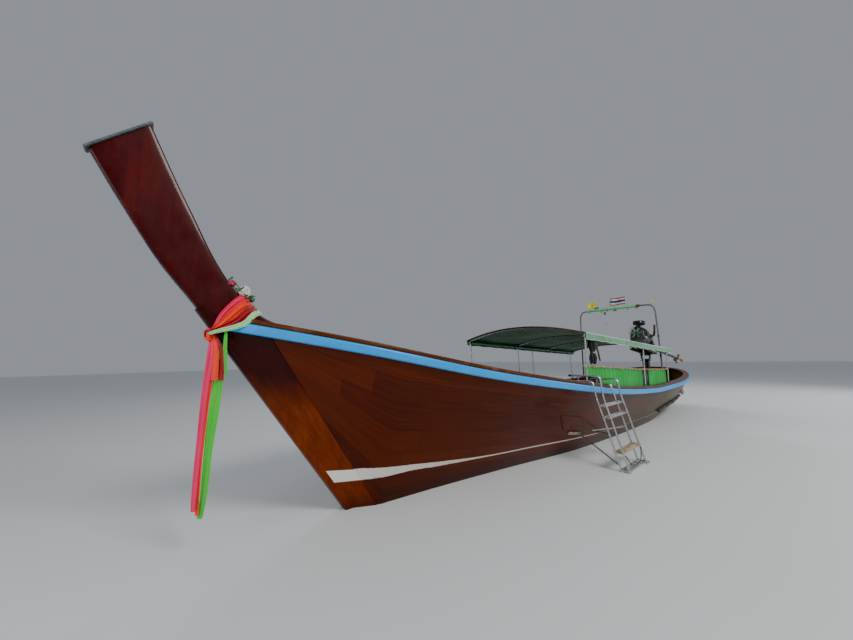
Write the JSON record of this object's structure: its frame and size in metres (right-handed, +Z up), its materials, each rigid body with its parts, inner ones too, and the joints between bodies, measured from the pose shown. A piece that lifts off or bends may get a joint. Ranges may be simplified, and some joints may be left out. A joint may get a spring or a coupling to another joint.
{
  "type": "longtail boat",
  "caption": "Open wooden longtail boat, afloat, with a cloth canopy, boarding ladder and a steerable, tilting tail engine on its stern.",
  "frame": {"origin": "on the centreline at the waterline, close to amidships", "axes": "+X towards the bow, +Y to port, +Z up"},
  "size_m": [14.8096, 2.7095, 3.6589],
  "materials": {
    "varnished_wood": "worn orange-brown varnish over planks",
    "red_varnished_wood": "deep red-brown varnish",
    "plain_wood": "weathered, nearly bare",
    "dark_timber": "dark, rough and wet",
    "blue_painted_wood": "bright blue gloss paint, worn",
    "painted_deck": "grey-green deck paint, worn",
    "steel_tube": "bare stainless tube",
    "engine_steel": "black paint, oily",
    "engine_iron": "oily black iron",
    "bronze": "cast bronze, dull",
    "canopy_cloth": "coated cloth",
    "green_sheet": "bright woven plastic sheet",
    "flag_cloth": "thin flag cloth",
    "ribbon_cloth": "thin bright ribbon cloth",
    "flowers": "flower garland",
    "tank_plastic": "translucent yellowed plastic"
  },
  "bodies": {
    "hull": {"bottom_planking_fore_port": "varnished_wood", "bottom_planking_middle_port": "varnished_wood", "bottom_planking_aft_port": "varnished_wood", "bottom_planking_fore_starboard": "varnished_wood", "bottom_planking_middle_starboard": "varnished_wood", "bottom_planking_aft_starboard": "varnished_wood", "side_planking_port": "varnished_wood", "side_planking_starboard": "varnished_wood", "rub_rail_port": "blue_painted_wood", "rub_rail_starboard": "blue_painted_wood", "gunwale_cap_port": "varnished_wood", "gunwale_cap_starboard": "varnished_wood", "keel": "dark_timber", "stem_post": "varnished_wood", "prow_board": "red_varnished_wood", "prow_cap": "plain_wood", "stern_post": "dark_timber", "frames_aft": "plain_wood", "frames_middle": "plain_wood", "frames_fore": "plain_wood", "riser_port": "plain_wood", "riser_starboard": "plain_wood", "floorboards": "painted_deck", "foredeck": "varnished_wood", "aft_deck": "painted_deck", "thwart_1": "plain_wood", "thwart_2": "plain_wood", "thwart_3": "plain_wood", "thwart_4": "plain_wood", "thwart_5": "plain_wood", "canopy_side_port": "steel_tube", "canopy_side_starboard": "steel_tube", "canopy_hoop_1": "steel_tube", "canopy_hoop_2": "steel_tube", "canopy_hoop_3": "steel_tube", "canopy_hoop_4": "steel_tube", "canopy_cloth": "canopy_cloth", "side_sheet_port": "green_sheet", "stern_frame": "steel_tube", "rolled_awning": "green_sheet", "flag_yellow": "flag_cloth", "flag_striped": "ribbon_cloth", "tied_curtain": "canopy_cloth", "ladder": "steel_tube", "ladder_wood_tread": "plain_wood", "ribbon_wrap": "ribbon_cloth", "garland": "flowers", "ribbon_tails": "ribbon_cloth", "engine_pedestal": "plain_wood"},
    "swivel": {"swivel_yoke": "engine_steel"},
    "engine": {"engine_bed": "engine_steel", "engine_block": "engine_iron", "gearbox": "engine_iron", "exhaust_pipe": "engine_steel", "air_filter": "engine_steel", "fuel_tank": "tank_plastic", "tiller": "engine_steel", "tail_tube": "engine_steel"},
    "propeller": {"propeller": "bronze"}
  },
  "joints": [
    {"name": "steering", "type": "hinge", "parent": "hull", "child": "swivel", "pos_m": [-5.8, 0, 1.25], "axis": [0, 0, 1], "range_deg": [-32, 32]},
    {"name": "tail_tilt", "type": "hinge", "parent": "swivel", "child": "engine", "pos_m": [-5.8, 0, 1.4], "axis": [0, -1, 0], "range_deg": [-12, 24]},
    {"name": "propeller_spin", "type": "hinge", "parent": "engine", "child": "propeller", "pos_m": [-9.30438, 0, 1.2216], "axis": [0.9925, 0, 0.1219], "continuous": true}
  ]
}
